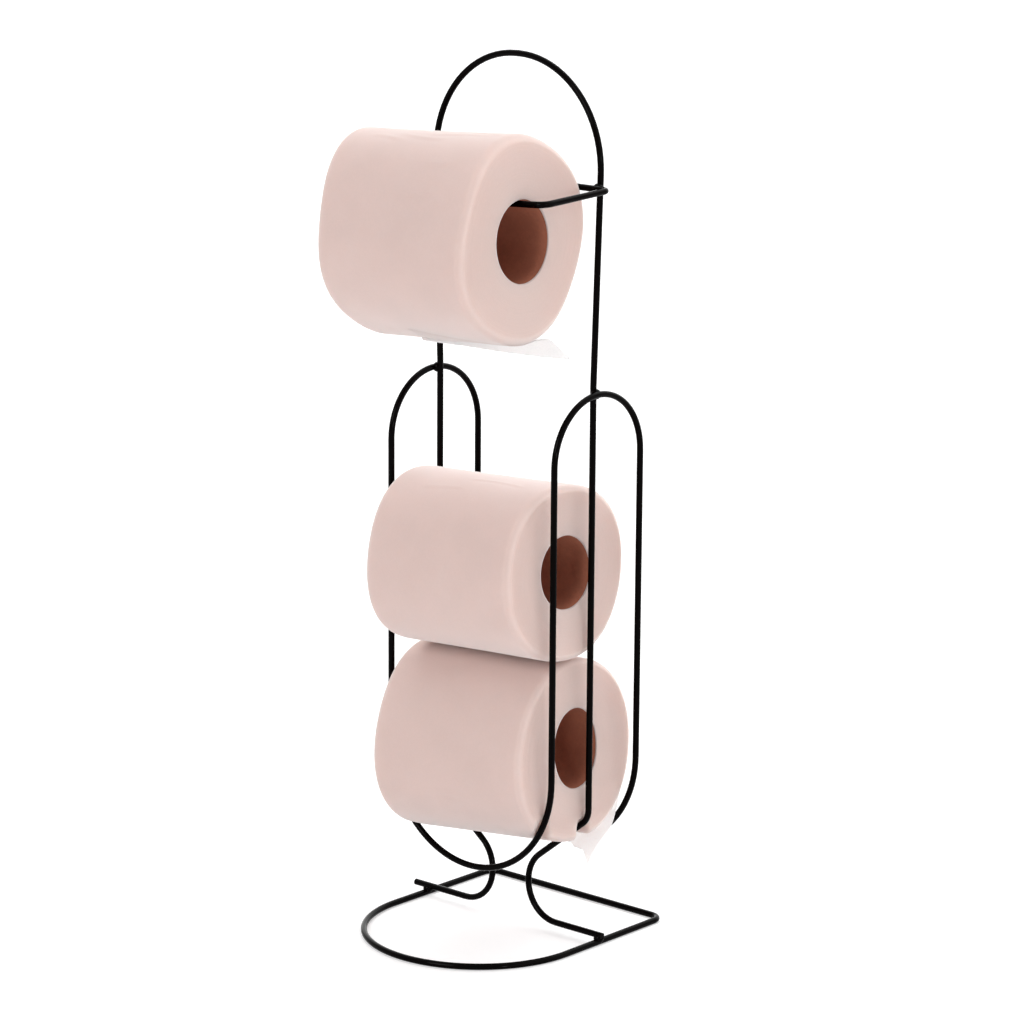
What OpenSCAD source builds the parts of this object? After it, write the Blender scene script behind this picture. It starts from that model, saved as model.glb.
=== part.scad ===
// Free-standing bent-wire toilet roll holder: one roll hangs on an arm, spare rolls stand in a cradle.
// Millimetres. X runs along the rolls, -Y is the front, +Z is up.
// The origin lies on the floor, midway between the two legs.

/* [Wire] */
// Diameter of the wire that every frame piece is bent from
wire_d = 3.6; // [3:0.1:4.4]
// Gap left between two wires where they are welded together
weld_gap = 0.1; // [0.05:0.05:0.2]
// Radius of a weld bead
weld_r = 2.9; // [2.6:0.1:3.6]

/* [Main frame] */
// Overall height of the holder
overall_h = 492; // [470:1:540]
// Distance between the two legs, centre to centre, beside the cradle
leg_span = 112; // [109:1:120]
// Distance between the two leg lines at the top of the arch
arch_span = 122.4; // [118:0.2:128]
// Height at which the legs begin to spread
spread_z = 315; // [315:1:330]
// Inside reach of the right foot's curl, from the middle plane to the wire's centre
foot_inner_r = 12.4; // [8:0.2:18]
// Inside reach of the left foot's curl, from the middle plane to the wire's centre
foot_inner_l = 14.7; // [8:0.2:18]
// Bend radius of the curl above each foot
foot_bend_r = 20.3; // [16:0.1:22]
// Slope of the wire that comes in from the leg to the curl, in degrees
slant = 38.3; // [34:0.1:42]
// Bend radius where a leg turns inwards
leg_bend_r = 11; // [8:0.5:16]
// Reach of the right foot's cut end from the middle plane
foot_end_r = 67; // [66:0.5:72]
// Reach of the left foot's cut end from the middle plane
foot_end_l = 74; // [68:0.5:80]

/* [Cradle] */
// Distance between the front and the back half of the cradle, centre to centre
cradle_depth = 71.8; // [66:0.2:76]
// Height of the top of the side arches
cradle_top = 312.7; // [290:0.1:314]
// Height of the lowest point of the cradle
cradle_bottom = 38.8; // [34:0.1:46]

/* [Base ring] */
// Width of the base ring, centre to centre
ring_w = 129; // [126:0.5:134]
// Reach of the ring's straight back bar behind the legs
ring_back = 55.2; // [48:0.2:70]
// Reach of the ring's round front before the legs
ring_front = 92.4; // [86:0.2:110]
// Bend radius of the two back corners
ring_corner_r = 7; // [5:0.5:12]

/* [Roll arm] */
// Height of the crossbar that carries the arm
arm_z = 422.8; // [415:0.2:440]
// Reach of the arm's outer corner from the middle plane
arm_side = 68; // [66:0.2:72]
// Reach of the arm before the legs
arm_front = 55.6; // [55.4:0.2:66]
// Drop of the arm between the crossbar and its front bend
arm_drop = 2.5; // [0:0.1:4]
// Turn of the roll's part of the arm towards the front, in degrees
arm_yaw = 2.6; // [0:0.1:4]
// Sag of the roll's part of the arm, in degrees
arm_sag = 2.6; // [0:0.1:4]
// Bend radius at the arm's outer corner
arm_corner_r = 4; // [3.5:0.5:6]
// Bend radius at the arm's front bend
arm_bend_r = 6; // [5:0.5:8]
// Length of the roll's part of the arm, from its front bend
arm_len = 124; // [120:1:130]
// Overhang of the crossbar past the left leg
bar_overhang = 3; // [2:0.5:5]

/* [Rolls] */
// Length of a roll
roll_len = 100; // [96:0.5:102]
// Inside diameter of the cardboard core
core_id = 44; // [40:0.5:46]
// Wall of the cardboard core
core_wall = 1; // [0.6:0.1:1.4]
// Radius of the soft rims of the paper
rim_r = 3; // [1.5:0.5:5]
// Diameter of the roll on the arm
top_roll_d = 109; // [90:0.5:109]
// Diameter of the spare roll that lies on the other one
middle_roll_d = 100.6; // [92:0.2:102]
// Diameter of the spare roll in the bottom of the cradle
bottom_roll_d = 105.2; // [98:0.2:106]
// Distance of the hanging roll's right face from the arm's outer corner, along the arm
top_roll_inset = 14.5; // [13:0.5:18]
// Height of the bottom roll's axis
bottom_roll_z = 106.2; // [105:0.2:112]
// Offset of the bottom roll to the front
bottom_roll_front = 6.5; // [4:0.5:8]
// Turn of the two spare rolls seen from above, in degrees
spare_yaw = 3; // [0:0.5:3.5]
// Rise of the two spare rolls towards the right, in degrees
spare_tilt = 4; // [0:0.5:4.5]
// Lean of the middle roll to the front of the bottom one, in degrees
stack_lean = 5.2; // [3:0.2:7]
// Shift of the middle roll along its own axis
middle_roll_shift = 6.8; // [5.5:0.1:7.5]

/* [Loose ends] */
// Thickness of the solid that stands for a loose end of tissue
sheet_t = 0.8; // [0.5:0.1:1.2]
// Angle over which the top roll's end still hugs the roll, in degrees
top_hug = 34; // [20:1:50]
// Angle behind the lowest point at which the top roll's end comes free, in degrees
top_leave = 14; // [8:1:20]
// Length of the top roll's end that hangs free
top_tail = 20; // [12:1:24]
// Width of the top roll's torn end, from its right rim
top_tail_w = 60; // [40:1:94]
// Angle over which the bottom roll's end still hugs the roll, in degrees
bottom_hug = 30; // [20:1:40]
// Angle behind the lowest point at which the bottom roll's end drops off, in degrees
bottom_leave = 13; // [10:1:20]
// Length of the bottom roll's end that hangs free
bottom_tail = 18; // [10:1:24]
// Slope of the top roll's hanging end, in degrees
top_slope = 45; // [35:1:60]
// Slope of the bottom roll's hanging end, in degrees
bottom_slope = 80; // [60:1:85]
// Width of the bottom roll's torn end
bottom_tail_w = 42; // [30:1:60]

/* [Clearances] */
// Gap between a roll and the wire that it lies or hangs on
rest_gap = 0.3; // [0.2:0.05:0.6]
// Gap between the cardboard core and the paper wound on it
core_fit = 0.15; // [0.1:0.05:0.3]

/* [Hidden] */
$fn = 72;

wire_black = [0.05, 0.05, 0.055];
paper_white = [0.93, 0.87, 0.85];
card_brown = [0.55, 0.36, 0.26];

wire_r = wire_d / 2;
pitch = wire_d + weld_gap;
ring_z = wire_r;
foot_z = ring_z + pitch;
leg_x = leg_span / 2;
cradle_x = leg_x + pitch;
cradle_y = cradle_depth / 2;
arch_z = overall_h - wire_r;
cradle_top_z = cradle_top - wire_r;
cradle_low_z = cradle_bottom + wire_r;
spread = atan((arch_span - leg_span) / 2 / (arch_z - spread_z));
spread_bend_r = 40;
// Shortest straight left between two bends
short_straight = 1;
// A bend is a trace thinner than the straight wire, and starts inside it.
bend_thin = 0.02;
bend_bite = 0.3;
arch_r = (arch_span / 2 - short_straight) / tan((90 + spread) / 2);
curl_step = foot_bend_r * (1 + tan((90 - slant) / 2)) + short_straight;
bar_leg_x = leg_x + (arm_z - spread_z) * tan(spread);
bar_end_x = bar_leg_x + wire_r + bar_overhang;
core_r = core_id / 2;
core_out_r = core_r + core_wall;
paper_in_r = core_out_r + core_fit;
hang = core_r - wire_r - rest_gap;
stack_step = (bottom_roll_d + middle_roll_d) / 2 + rest_gap;
dent_w = wire_d + 2 * rest_gap;
dent_r = cradle_x - wire_r - rest_gap;
far = 200;
eps = 0.01;

function unit(v) = v / norm(v);
function turn_at(p, i) = acos(min(1, unit(p[i] - p[i - 1]) * unit(p[i + 1] - p[i])));
function inner(p, i) = i > 0 && i < len(p) - 1;
function cut_at(p, r, i) = inner(p, i) ? r[i] * tan(turn_at(p, i) / 2) : 0;

// Puts a child that runs along +Z from the origin onto the line from a to b.
module along(a, b) {
    d = b - a;
    translate(a)
        rotate([0, acos(d.z / norm(d)), atan2(d.y, d.x)])
            children();
}

// Puts a child drawn in the axes x, y, z (three unit vectors) at the point o.
module in_axes(o, x, y, z) {
    upright = abs(x.z) > 0.9999;
    rx = upright ? atan2(-z.y, y.y) : atan2(y.z, z.z);
    rz = upright ? 0 : atan2(x.y, x.x);
    translate(o)
        rotate([rx, -asin(max(-1, min(1, x.z))), rz])
            children();
}

// One bend of the wire at the corner b, on the way from a to c.
module wire_bend(a, b, c, r) {
    u = unit(b - a);
    v = unit(c - b);
    turn = acos(min(1, u * v));
    n = unit(cross(u, v));
    x = cross(u, n);
    start = b - u * r * tan(turn / 2);
    bite = asin(min(0.5, bend_bite / r));
    in_axes(start - x * r, x, u, n)
        rotate([0, 0, -bite])
            rotate_extrude(angle = turn + 2 * bite)
                translate([r, 0])
                    circle(r = wire_r - bend_thin);
}

// Wire bent along the corner points p, with a bend radius for each inner point.
module bent_wire(p, r) {
    for (i = [0:len(p) - 2]) {
        u = unit(p[i + 1] - p[i]);
        a = p[i] + u * cut_at(p, r, i);
        b = p[i + 1] - u * cut_at(p, r, i + 1);
        if ((b - a) * u > eps)
            along(a, b)
                cylinder(r = wire_r, h = norm(b - a));
    }
    for (i = [1:len(p) - 2])
        wire_bend(p[i - 1], p[i], p[i + 1], r[i]);
}

// Corner points of one half of the main frame, from the foot's cut end to the arch.
function leg_points(side, foot_inner, foot_end) = [
    [side * foot_end, 0, foot_z],
    [side * foot_inner, 0, foot_z],
    [side * foot_inner, 0, foot_z + curl_step],
    [side * leg_x, 0, foot_z + curl_step + (leg_x - foot_inner) * tan(slant)],
    [side * leg_x, 0, spread_z],
    [side * arch_span / 2, 0, arch_z]
];
leg_radii = [0, foot_bend_r, foot_bend_r, leg_bend_r, spread_bend_r, arch_r];
function reversed(p) = [for (i = [len(p) - 1:-1:0]) p[i]];

module main_wire() {
    bent_wire(concat(leg_points(1, foot_inner_r, foot_end_r),
                     reversed(leg_points(-1, foot_inner_l, foot_end_l))),
              concat(leg_radii, reversed(leg_radii)));
}

module cradle_wire() {
    x = cradle_x;
    y = cradle_y;
    middle_z = (cradle_top_z + cradle_low_z) / 2;
    bent_wire([[x, -y, middle_z], [x, -y, cradle_top_z], [x, y, cradle_top_z],
               [x, y, cradle_low_z], [-x, y, cradle_low_z],
               [-x, y, cradle_top_z], [-x, -y, cradle_top_z],
               [-x, -y, cradle_low_z], [x, -y, cradle_low_z], [x, -y, middle_z]],
              [0, y, y, x, x, y, y, x, x, 0]);
}

module ring_wire() {
    w = ring_w / 2;
    bent_wire([[0, ring_back, ring_z], [w, ring_back, ring_z],
               [w, -ring_front, ring_z], [-w, -ring_front, ring_z],
               [-w, ring_back, ring_z], [0, ring_back, ring_z]],
              [0, ring_corner_r, w, w, ring_corner_r, 0]);
}

arm_bend = [arm_side, -arm_front, arm_z - arm_drop];
arm_along = [cos(arm_yaw) * cos(arm_sag), sin(arm_yaw) * cos(arm_sag), sin(arm_sag)];

module arm_wire() {
    bent_wire([[-bar_end_x, -pitch, arm_z], [arm_side, -pitch, arm_z],
               arm_bend, arm_bend - arm_along * arm_len],
              [0, arm_corner_r, arm_bend_r, 0]);
}

// The roll's part of the arm: +X runs along the arm to its front bend.
module on_arm() {
    translate(arm_bend)
        rotate([0, -arm_sag, arm_yaw])
            children();
}

module at_top_roll() {
    on_arm()
        translate([-top_roll_inset - roll_len / 2, 0, -hang])
            children();
}

// The spare rolls: +X runs along their axes, the origin is the bottom roll's centre.
module at_bottom_roll() {
    translate([0, -bottom_roll_front, bottom_roll_z])
        rotate([0, -spare_tilt, spare_yaw])
            children();
}

module at_middle_roll() {
    at_bottom_roll()
        translate([middle_roll_shift, -stack_step * sin(stack_lean), stack_step * cos(stack_lean)])
            children();
}

// A ring wound round the X axis, with soft outer rims.
module soft_roll(d) {
    rotate([0, 90, 0])
        rotate_extrude()
            union() {
                translate([paper_in_r, -roll_len / 2])
                    square([d / 2 - rim_r - paper_in_r, roll_len]);
                translate([paper_in_r, rim_r - roll_len / 2])
                    square([d / 2 - paper_in_r, roll_len - 2 * rim_r]);
                for (s = [-1, 1])
                    translate([d / 2 - rim_r, s * (roll_len / 2 - rim_r)])
                        circle(r = rim_r);
            }
}

// Cardboard tube round the X axis.
module core_tube() {
    rotate([0, 90, 0])
        rotate_extrude()
            translate([core_r, -roll_len / 2])
                square([core_wall, roll_len]);
}

// The space that the two lower arcs of the cradle press into a roll.
module cradle_dents() {
    for (s = [-1, 1])
        translate([0, s * cradle_y + dent_w / 2, cradle_low_z + cradle_x])
            rotate([90, 0, 0])
                difference() {
                    translate([-far / 2, -far / 2])
                        cube([far, far / 2, dent_w]);
                    translate([0, 0, -eps])
                        cylinder(r = dent_r, h = dent_w + 2 * eps);
                }
}

// The space that each leg and its sloping part press into a roll.
module leg_dents() {
    room = wire_r + rest_gap;
    slope_z = foot_z + curl_step + room / cos(slant);
    face_x = leg_x - room;
    cut = (leg_bend_r - room) * tan((90 - slant) / 2);
    for (s = [[1, foot_inner_r], [-1, foot_inner_l]]) {
        corner_z = slope_z + (face_x - s[1]) * tan(slant);
        translate([0, dent_w / 2, 0])
            rotate([90, 0, 0])
                linear_extrude(dent_w)
                    polygon([[s[0] * s[1], 0],
                             [s[0] * s[1], slope_z],
                             [s[0] * (face_x - cut * cos(slant)), corner_z - cut * sin(slant)],
                             [s[0] * face_x, corner_z + cut],
                             [s[0] * face_x, spread_z],
                             [s[0] * far / 2, spread_z],
                             [s[0] * far / 2, 0]]);
    }
}

// A loose end below a roll, drawn across the roll's axis and laid along +X: it hugs
// the roll over an angle (from the back where that is negative), comes free
// behind the roll's lowest point and slopes down.
module loose_end(d, hug, leave, tail, w, slope) {
    in_r = d / 2 + rest_gap;
    out_r = in_r + sheet_t;
    mid_r = in_r + sheet_t / 2;
    rotate([90, 0, 90])
        linear_extrude(w) {
            intersection() {
                difference() {
                    circle(r = out_r);
                    circle(r = in_r);
                }
                polygon([[0, 0], [d * sin(leave), -d * cos(leave)],
                         [d * sin(leave - hug), -d * cos(leave - hug)]]);
            }
            translate([mid_r * sin(leave), -mid_r * cos(leave)]) {
                circle(r = sheet_t / 2);
                rotate(-slope)
                    translate([0, -sheet_t / 2])
                        square([tail, sheet_t]);
            }
        }
}

module weld_bead(p) {
    translate(p)
        sphere(r = weld_r);
}

module main_frame() {
    color(wire_black)
        main_wire();
}

module cradle_loop() {
    color(wire_black)
        cradle_wire();
}

module base_ring() {
    color(wire_black)
        ring_wire();
}

module roll_arm() {
    color(wire_black)
        arm_wire();
}

module arm_welds() {
    color(wire_black)
        for (s = [-1, 1])
            difference() {
                translate([s * bar_leg_x, -pitch / 2, arm_z])
                    rotate([90, 0, 0])
                        sphere(r = weld_r);
                translate([s * bar_leg_x, 0, arm_z])
                    rotate([0, s * spread, 0])
                        cylinder(r = wire_r, h = 4 * weld_r, center = true);
                translate([s * bar_leg_x, -pitch, arm_z])
                    rotate([0, 90, 0])
                        cylinder(r = wire_r, h = 4 * weld_r, center = true);
            }
}

module cradle_welds() {
    color(wire_black)
        difference() {
            for (s = [-1, 1])
                weld_bead([s * (leg_x + pitch / 2), 0, cradle_top_z]);
            for (s = [-1, 1]) {
                translate([s * leg_x, 0, 0])
                    cylinder(r = wire_r, h = overall_h);
                translate([s * cradle_x, 0, cradle_top_z - cradle_y])
                    rotate([0, 90, 0])
                        rotate_extrude()
                            translate([cradle_y, 0])
                                circle(r = wire_r);
            }
        }
}

module foot_welds() {
    color(wire_black)
        difference() {
            for (s = [-1, 1])
                weld_bead([s * ring_w / 2, 0, ring_z + pitch / 2]);
            along([-ring_w, 0, foot_z], [ring_w, 0, foot_z])
                cylinder(r = wire_r, h = 2 * ring_w);
            for (s = [-1, 1])
                along([s * ring_w / 2, -ring_w, ring_z], [s * ring_w / 2, ring_w, ring_z])
                    cylinder(r = wire_r, h = 2 * ring_w);
        }
}

module top_roll_core() {
    color(card_brown)
        at_top_roll()
            core_tube();
}

module top_roll_paper() {
    color(paper_white)
        at_top_roll()
            soft_roll(top_roll_d);
}

module top_loose_end() {
    color(paper_white)
        at_top_roll()
            translate([roll_len / 2 - rim_r - top_tail_w, 0, 0])
                loose_end(top_roll_d, top_hug, top_leave, top_tail, top_tail_w, top_slope);
}

module middle_roll_core() {
    color(card_brown)
        at_middle_roll()
            core_tube();
}

module middle_roll_paper() {
    color(paper_white)
        at_middle_roll()
            soft_roll(middle_roll_d);
}

module bottom_roll_core() {
    color(card_brown)
        at_bottom_roll()
            core_tube();
}

module bottom_roll_paper() {
    color(paper_white)
        difference() {
            at_bottom_roll()
                soft_roll(bottom_roll_d);
            cradle_dents();
            leg_dents();
        }
}

module bottom_loose_end() {
    color(paper_white)
        at_bottom_roll()
            translate([roll_len / 2 - rim_r - bottom_tail_w, 0, 0])
                loose_end(bottom_roll_d, -bottom_hug, bottom_leave, bottom_tail,
                          bottom_tail_w, bottom_slope);
}

main_frame();
cradle_loop();
base_ring();
roll_arm();
arm_welds();
cradle_welds();
foot_welds();
top_roll_core();
top_roll_paper();
top_loose_end();
middle_roll_core();
middle_roll_paper();
bottom_roll_core();
bottom_roll_paper();
bottom_loose_end();
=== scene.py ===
"""Looks of a free-standing wire toilet roll holder with one roll on its arm and two spare rolls.

Metres, +Z up, -Y to the front. Each operator makes one piece or one group of like pieces.
"""
import math
from typing import NamedTuple

import bpy
import numpy as np
from mathutils import Matrix, Vector


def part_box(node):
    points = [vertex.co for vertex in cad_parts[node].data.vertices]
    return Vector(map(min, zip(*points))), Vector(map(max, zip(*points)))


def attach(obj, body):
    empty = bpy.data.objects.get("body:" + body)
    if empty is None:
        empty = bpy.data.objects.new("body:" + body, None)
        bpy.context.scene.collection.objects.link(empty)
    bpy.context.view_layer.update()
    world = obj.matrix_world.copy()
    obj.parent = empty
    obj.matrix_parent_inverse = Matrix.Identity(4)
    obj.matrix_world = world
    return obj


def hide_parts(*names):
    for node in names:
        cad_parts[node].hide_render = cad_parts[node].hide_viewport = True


bl_info = {
    "name": "Wire Toilet Roll Holder",
    "version": (1, 1, 0),
    "blender": (4, 5, 0),
    "location": "View3D > Sidebar > Roll Holder",
    "description": "Builds the looks of a free-standing wire toilet roll holder",
    "category": "Object",
}

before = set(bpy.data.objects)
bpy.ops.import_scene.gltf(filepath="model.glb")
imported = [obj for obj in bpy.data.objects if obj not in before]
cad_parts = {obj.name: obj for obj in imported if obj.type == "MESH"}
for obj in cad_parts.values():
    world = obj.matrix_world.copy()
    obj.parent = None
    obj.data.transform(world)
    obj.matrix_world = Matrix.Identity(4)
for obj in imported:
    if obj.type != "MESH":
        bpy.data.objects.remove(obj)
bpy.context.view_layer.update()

MM = 0.001
WIRE_NODES = ("main_frame", "cradle_loop", "base_ring", "roll_arm")
WELD_NODES = ("arm_welds", "cradle_welds", "foot_welds")

# The wires that the bottom roll lies against, as in the CAD.
WIRE_RADIUS = 1.8 * MM
LEG_PLACE = 56.0 * MM                       # from the middle to a leg's centre line
LEG_BEND = 11.0 * MM
LEG_SLANT = math.radians(38.3)              # of the wire that comes in from the leg to its curl
CURL_HEIGHT = 36.64 * MM                    # where the slanting wire starts
CURL_PLACES = {1: 12.4 * MM, -1: 14.7 * MM}     # from the middle, at the right and left foot
PRESS_GAP = 0.3 * MM                        # left between the paper and a wire
PRESS_FADE = 5.0 * MM                       # from a wire to where the paper is round again

# A wrinkle of the outer sheet: a ridge with a dip beside it, in degrees round the roll, and
# lengths along the roll in millimetres.
RIDGE_WIDTH, DIP_WIDTH, DIP_PLACE, DIP_SHARE = 1.1, 1.6, 2.6, 0.6
SWAY_DEGREES, SWAY_LENGTH, WRINKLE_FADE = 2.0, 11, 8

BORE_DENT = 0.6 * MM        # how far the end faces fall in towards the bore
BORE_DENT_SHARE = 0.25      # share of the wound thickness over which they do
TUBE_GAP = 0.05 * MM        # between a tube and the paper round it

FLOOR_HALF = 40.0
SIDE_LIGHT = Vector((0.06, -0.9, 0.42))
FACE_LIGHT = Vector((0.96, 0.24, 0.14))
BACK_LIGHT = Vector((-0.3, 0.75, 0.6))


# ---------------------------------------------------------------- measured shapes

class RollShape(NamedTuple):
    """Measured outline of one roll in millimetres. Angles turn from its back up to its top."""

    body: str
    on_arm: bool
    radius: float
    rim: float
    taper: float
    lobes: tuple        # for 1 to 4 waves a turn: cosine, sine, and how both grow to the right
    bore: float
    bore_oval: tuple    # cosine and sine of two waves a turn
    bore_shift: tuple   # to the back, and up
    flat_way: int       # +1 flattened on top, -1 below, 0 nowhere
    flat_at: float
    flat_left: float    # how much further up the flat lies at the left end
    corner: tuple       # bulge at the left and right end, and its angle and width in degrees
    wrinkles: tuple     # angle in degrees, where it starts and ends along the roll
    seed: int


TOP_ROLL = RollShape(
    body="top_roll", on_arm=True, radius=54.18, rim=4.58, taper=0.07,
    lobes=((0, 0, 0.30, 0.54), (-1.2, -0.57, -0.22, 2.6), (1.16, -0.32, -0.78, -0.04),
           (0.38, 1.7, -0.06, -0.34)),
    bore=22.06, bore_oval=(-0.2, 0.0), bore_shift=(0.0, 0.0), flat_way=0, flat_at=0.0,
    flat_left=0.0, corner=(0, 0, 90, 30),
    wrinkles=((108, -18, 18), (102, 2, 44), (97, 18, 47), (146, 4, 30), (114, -34, -8),
              (126, 10, 36)), seed=11)
MIDDLE_ROLL = RollShape(
    body="middle_roll", on_arm=False, radius=52.15, rim=4.42, taper=-1.26,
    lobes=((0, 0, 0.25, -0.26), (1.29, -0.48, 0.66, 0.75), (-0.03, -0.12, -0.07, 0.55),
           (-0.56, 0.82, 0.01, -0.23)),
    bore=21.14, bore_oval=(0.81, -0.32), bore_shift=(-0.3, 0.3), flat_way=-1, flat_at=49.8,
    flat_left=3.6, corner=(-4.6, 0.0, -108, 42), wrinkles=((118, -30, 2), (104, -6, 36)), seed=23)
BOTTOM_ROLL = RollShape(
    body="bottom_roll", on_arm=False, radius=53.27, rim=3.73, taper=-1.85,
    lobes=((0, 0, 0.15, 0.03), (0.99, 0.49, -0.83, 0.03), (-0.22, -0.55, -0.11, 0.17),
           (-0.29, 0.60, 0.02, -0.21)),
    bore=20.85, bore_oval=(-1.79, -0.15), bore_shift=(0.6, 1.6), flat_way=1, flat_at=53.2,
    flat_left=3.6, corner=(3.2, 0.0, 105, 42), wrinkles=((200, -20, 14),), seed=37)
ROLLS = (TOP_ROLL, MIDDLE_ROLL, BOTTOM_ROLL)
STACK_LEAN = math.radians(5.2)

# Loose ends in millimetres: place along the roll, angle past straight below at which the tissue
# leaves the roll, and the points (to the back, up) through which it hangs.
TOP_END = (
    (-13, -12, ((-10.0, -54.95), (-9.4, -55.2), (-8.7, -55.45), (-8.1, -55.7), (-7.5, -55.9))),
    (5, -5, ((-2.5, -56.1), (-0.8, -56.8), (0.8, -57.5), (2.2, -58.2), (3.4, -58.9))),
    (20, 0, ((4.5, -56.1), (8.5, -57.5), (12.0, -59.4), (15.0, -61.3), (17.8, -63.1))),
    (35, 4, ((11.0, -55.3), (18.0, -56.7), (23.5, -59.8), (27.5, -63.0), (31.2, -66.4))),
    (47, 6, ((14.0, -54.2), (22.0, -54.6), (28.8, -58.8), (34.8, -63.4), (40.6, -68.0))))
BOTTOM_END = (
    (5, 40, ((33.4, -41.7), (32.7, -42.7), (32.0, -43.6), (31.4, -44.4), (30.8, -45.1),
             (30.2, -45.8))),
    (18, 46, ((35.0, -42.0), (32.0, -46.0), (29.4, -49.2), (27.3, -51.4), (25.7, -53.1),
              (24.3, -54.6))),
    (30, 52, ((37.0, -42.0), (32.0, -49.0), (27.8, -53.6), (24.2, -57.4), (21.7, -59.8),
              (19.5, -61.8))),
    (38, 56, ((37.6, -42.0), (32.0, -50.0), (26.0, -55.0), (21.6, -58.8), (19.2, -60.7),
              (17.5, -62.2))),
    (43, 57, ((38.2, -41.0), (32.2, -50.4), (24.6, -55.7), (18.2, -60.3), (15.2, -62.7),
              (13.0, -64.8))),
    (47, 58, ((38.5, -40.5), (32.3, -50.7), (23.6, -56.0), (16.0, -60.9), (12.0, -64.3),
              (9.8, -67.2))))


# ---------------------------------------------------------------- settings

def amount_setting(name, description, default):
    """A plain number from zero up."""
    return bpy.props.FloatProperty(name=name, description=description, min=0.0, default=default)


def length_setting(name, description, default, least=0.0):
    """A length in metres."""
    return bpy.props.FloatProperty(name=name, description=description, subtype='DISTANCE',
                                   unit='LENGTH', min=least, default=default)


def angle_setting(name, description, degrees, **limits):
    """An angle, written in degrees and kept in radians."""
    return bpy.props.FloatProperty(name=name, description=description, subtype='ANGLE',
                                   default=math.radians(degrees), **limits)


def color_setting(name, description, default):
    """A colour of three channels from 0 to 1."""
    return bpy.props.FloatVectorProperty(name=name, description=description, subtype='COLOR',
                                         size=3, min=0.0, max=1.0, default=default)


class RH_StageSettings(bpy.types.PropertyGroup):
    """Floor, lights and camera."""

    floor_color: color_setting("Floor color", "Colour of the floor", (0.76, 0.755, 0.76))
    floor_white: amount_setting(
        "Floor white", "White that the camera sees added to the floor", 0.36)
    room_strength: amount_setting(
        "Room strength", "Strength of the even white light from all round", 0.16)
    top_strength: amount_setting("Top strength", "Strength of the broad light from above", 0.9)
    top_angle: angle_setting(
        "Top angle", "Width of the light from above", 100, min=0.0, max=math.pi)
    key_strength: amount_setting("Key strength", "Strength of the low light from the right", 0.3)
    key_angle: angle_setting(
        "Key angle", "Width of the low light from the right", 5, min=0.0, max=math.pi)
    key_heading: angle_setting(
        "Key heading", "Angle of the low light round the object from the front", 66)
    key_height: angle_setting("Key elevation", "Angle of the low light above the horizon", 3)
    side_strength: amount_setting(
        "Side strength", "Strength of the soft light on the rolls' wound sides", 1.29)
    side_angle: angle_setting(
        "Side light angle", "Width of the soft light on the wound sides", 24, min=0.0, max=math.pi)
    face_strength: amount_setting(
        "Face strength", "Strength of the soft light on the rolls' cut ends", 1.14)
    face_angle: angle_setting(
        "Face light angle", "Width of the soft light on the cut ends", 64, min=0.0, max=math.pi)
    back_strength: amount_setting("Back strength", "Strength of the broad light from behind", 3.2)
    camera_place: bpy.props.FloatVectorProperty(
        name="Camera place", description="Where the camera stands",
        subtype='TRANSLATION', unit='LENGTH', size=3, default=(1.3570, -1.5419, 0.7075))
    camera_heading: angle_setting("Camera heading", "Angle round the object from the front", 41.39)
    camera_height: angle_setting("Camera elevation", "Angle above the horizon", 12.91)
    camera_roll: angle_setting("Camera roll", "Turn of the camera about its view axis", 0.39)
    lens: bpy.props.FloatProperty(
        name="Lens", description="Focal length in millimetres on a 36 mm sensor",
        min=20.0, default=133.9)


class RH_WireSettings(bpy.types.PropertyGroup):
    """Black enamelled wire."""

    color: color_setting("Wire color", "Colour of the enamel", (0.0009, 0.0003, 0.0003))
    roughness: bpy.props.FloatProperty(
        name="Roughness", description="Roughness of the enamel",
        subtype='FACTOR', min=0.0, max=1.0, default=0.09)
    peel_depth: length_setting("Peel depth", "Depth of the enamel's fine waviness", 0.03 * MM)


class RH_CoreSettings(bpy.types.PropertyGroup):
    """Cardboard tubes inside the rolls."""

    color: color_setting("Cardboard color", "Colour of the cardboard", (0.43, 0.162, 0.1))
    wall: length_setting("Wall", "Thickness of the cardboard", 1.0 * MM, least=0.0003)
    recess: length_setting("Recess", "How far the cardboard ends inside the paper", 1.6 * MM)
    seam_turns: amount_setting("Seam turns", "Turns of the spiral seam along the tube", 1.6)
    seam_height: length_setting(
        "Seam height", "How far the seam's edge stands into the tube", 0.1 * MM)


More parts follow.
